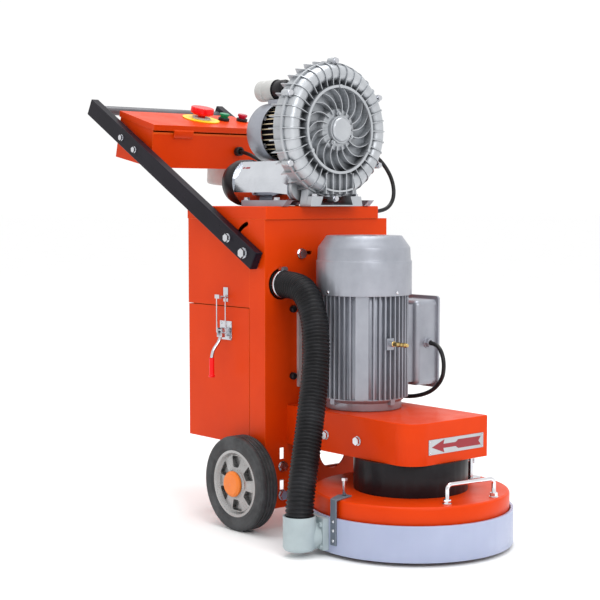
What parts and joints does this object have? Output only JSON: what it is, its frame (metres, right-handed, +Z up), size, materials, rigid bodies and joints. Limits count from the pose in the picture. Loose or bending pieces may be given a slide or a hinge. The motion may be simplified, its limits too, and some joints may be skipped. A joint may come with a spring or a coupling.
{
  "type": "concrete grinder",
  "caption": "Walk-behind concrete floor grinder with belt-driven grinding head, floating dust skirt, built-in blower vacuum, dust bin, two wheels and a tilting handle with a control box.",
  "frame": {"origin": "on the floor, under the middle of the machine's overall box", "axes": "+Z up; +Y from the grinding head towards the operator's handle; +X to the right seen from the front"},
  "size_m": [0.5841, 1.2468, 1.103],
  "materials": {
    "orange_paint": "gloss",
    "black_paint": "satin",
    "silver_paint": "satin",
    "cast_aluminium": "as cast",
    "steel": "machined",
    "zinc": "bright",
    "iron": "as cast",
    "tyre_rubber": "matte",
    "black_rubber": "matte",
    "hose_plastic": "matte",
    "cable_black": "matte",
    "skirt_plastic": "translucent",
    "port_plastic": "matte",
    "cap_orange": "gloss",
    "brass": "machined",
    "white_plastic": "matte",
    "yellow_plastic": "gloss",
    "red_plastic": "gloss",
    "green_plastic": "gloss",
    "grey_plastic": "matte",
    "filter_paper": "pleated",
    "diamond": "sintered"
  },
  "bodies": {
    "chassis": {"front_frame": "orange_paint", "filter_housing": "orange_paint", "cabinet_lid": "orange_paint", "filter_cartridge": "filter_paper", "wheel_axle": "steel", "belt_housing": "orange_paint", "drive_belts": "black_rubber", "bearing_housing": "iron", "spindle_bearings": "steel", "rubber_collar": "black_rubber", "head_shroud": "orange_paint", "shroud_handle": "zinc", "head_tie_link": "zinc", "direction_plate": "cast_aluminium", "motor_frame": "silver_paint", "motor_cowl": "silver_paint", "terminal_box": "silver_paint", "power_cables": "cable_black", "brass_barb": "brass", "blower_front_casing": "cast_aluminium", "blower_rear_casing": "cast_aluminium", "blower_motor_frame": "black_paint", "blower_motor_cowl": "silver_paint", "silencers": "steel", "blower_capacitor": "white_plastic", "control_cable": "cable_black", "dust_hose": "hose_plastic", "frame_fasteners": "zinc", "latch_keepers": "zinc"},
    "wheel_left": {"tyre_left": "tyre_rubber", "rim_left": "cast_aluminium", "hub_cap_left": "cap_orange"},
    "wheel_right": {"tyre_right": "tyre_rubber", "rim_right": "cast_aluminium", "hub_cap_right": "cap_orange"},
    "handle": {"handle_bars": "black_paint", "handle_crossbar": "steel", "handle_bolts": "zinc", "control_box": "orange_paint", "power_inlet": "grey_plastic"},
    "control_box_lid": {"control_lid": "orange_paint", "switch_bezels": "yellow_plastic"},
    "emergency_stop": {"estop_button": "red_plastic"},
    "start_switch": {"start_button": "green_plastic"},
    "stop_switch": {"stop_button": "red_plastic"},
    "bin": {"dust_bin": "orange_paint", "latch_bases": "zinc"},
    "lever_left": {"latch_lever_left": "zinc"},
    "lever_right": {"latch_lever_right": "zinc"},
    "bail_left": {"latch_bail_left": "zinc"},
    "bail_right": {"latch_bail_right": "zinc"},
    "spindle": {"spindle_shaft": "steel", "drive_plate": "steel", "diamond_shoes": "diamond", "spindle_pulley": "iron"},
    "rotor": {"motor_rotor": "steel", "motor_pulley": "iron"},
    "blower_rotor": {"blower_impeller": "cast_aluminium"},
    "skirt": {"dust_skirt": "skirt_plastic", "dust_port": "port_plastic"}
  },
  "joints": [
    {"name": "wheel_left_spin", "type": "hinge", "parent": "chassis", "child": "wheel_left", "pos_m": [-0.2005, -0.0525, 0.111], "axis": [1, 0, 0], "continuous": true},
    {"name": "wheel_right_spin", "type": "hinge", "parent": "chassis", "child": "wheel_right", "pos_m": [0.2565, -0.0525, 0.111], "axis": [1, 0, 0], "continuous": true},
    {"name": "handle_tilt", "type": "hinge", "parent": "chassis", "child": "handle", "pos_m": [0.028, -0.0515, 0.647], "axis": [1, 0, 0], "range_deg": [0, 38], "deforming": ["control_cable"]},
    {"name": "control_lid_hinge", "type": "hinge", "parent": "handle", "child": "control_box_lid", "pos_m": [0.028, 0.52264, 0.99127], "axis": [-1, 0, 0], "range_deg": [0, 100]},
    {"name": "estop_press", "type": "slide", "parent": "control_box_lid", "child": "emergency_stop", "axis": [0, 0.2604, -0.9655], "range_m": [0, 0.005]},
    {"name": "start_press", "type": "slide", "parent": "control_box_lid", "child": "start_switch", "axis": [0, 0.2604, -0.9655], "range_m": [0, 0.004], "stiffness_N_per_m": 400},
    {"name": "stop_press", "type": "slide", "parent": "control_box_lid", "child": "stop_switch", "axis": [0, 0.2604, -0.9655], "range_m": [0, 0.004], "stiffness_N_per_m": 400},
    {"name": "bin_slide", "type": "slide", "parent": "chassis", "child": "bin", "axis": [0, 1, 0], "range_m": [0, 0.26]},
    {"name": "latch_left_open", "type": "hinge", "parent": "bin", "child": "lever_left", "pos_m": [-0.181, 0.0485, 0.46], "axis": [0, 1, 0], "range_deg": [0, 140]},
    {"name": "latch_left_bail", "type": "hinge", "parent": "lever_left", "child": "bail_left", "pos_m": [-0.181, 0.0485, 0.455], "axis": [0, 1, 0], "range_deg": [-140, 0]},
    {"name": "latch_right_open", "type": "hinge", "parent": "bin", "child": "lever_right", "pos_m": [0.237, 0.0485, 0.46], "axis": [0, -1, 0], "range_deg": [0, 140]},
    {"name": "latch_right_bail", "type": "hinge", "parent": "lever_right", "child": "bail_right", "pos_m": [0.237, 0.0485, 0.455], "axis": [0, -1, 0], "range_deg": [-140, 0]},
    {"name": "spindle_turn", "type": "hinge", "parent": "chassis", "child": "spindle", "pos_m": [0.017, -0.3935, 0.15], "axis": [0, 0, 1], "continuous": true},
    {"name": "rotor_turn", "type": "hinge", "parent": "chassis", "child": "rotor", "pos_m": [0.017, -0.2375, 0.4], "axis": [0, 0, 1], "continuous": true},
    {"name": "blower_turn", "type": "hinge", "parent": "chassis", "child": "blower_rotor", "pos_m": [0.017, 0.0065, 0.934], "axis": [0, 1, 0], "continuous": true},
    {"name": "skirt_float", "type": "slide", "parent": "chassis", "child": "skirt", "axis": [0, 0, 1], "range_m": [0, 0.02], "deforming": ["dust_hose"]}
  ],
  "couplings": [
    {"joint": "rotor_turn", "follows": "spindle_turn", "ratio": 2},
    {"joint": "latch_left_bail", "follows": "latch_left_open", "ratio": -1},
    {"joint": "latch_right_bail", "follows": "latch_right_open", "ratio": -1}
  ]
}
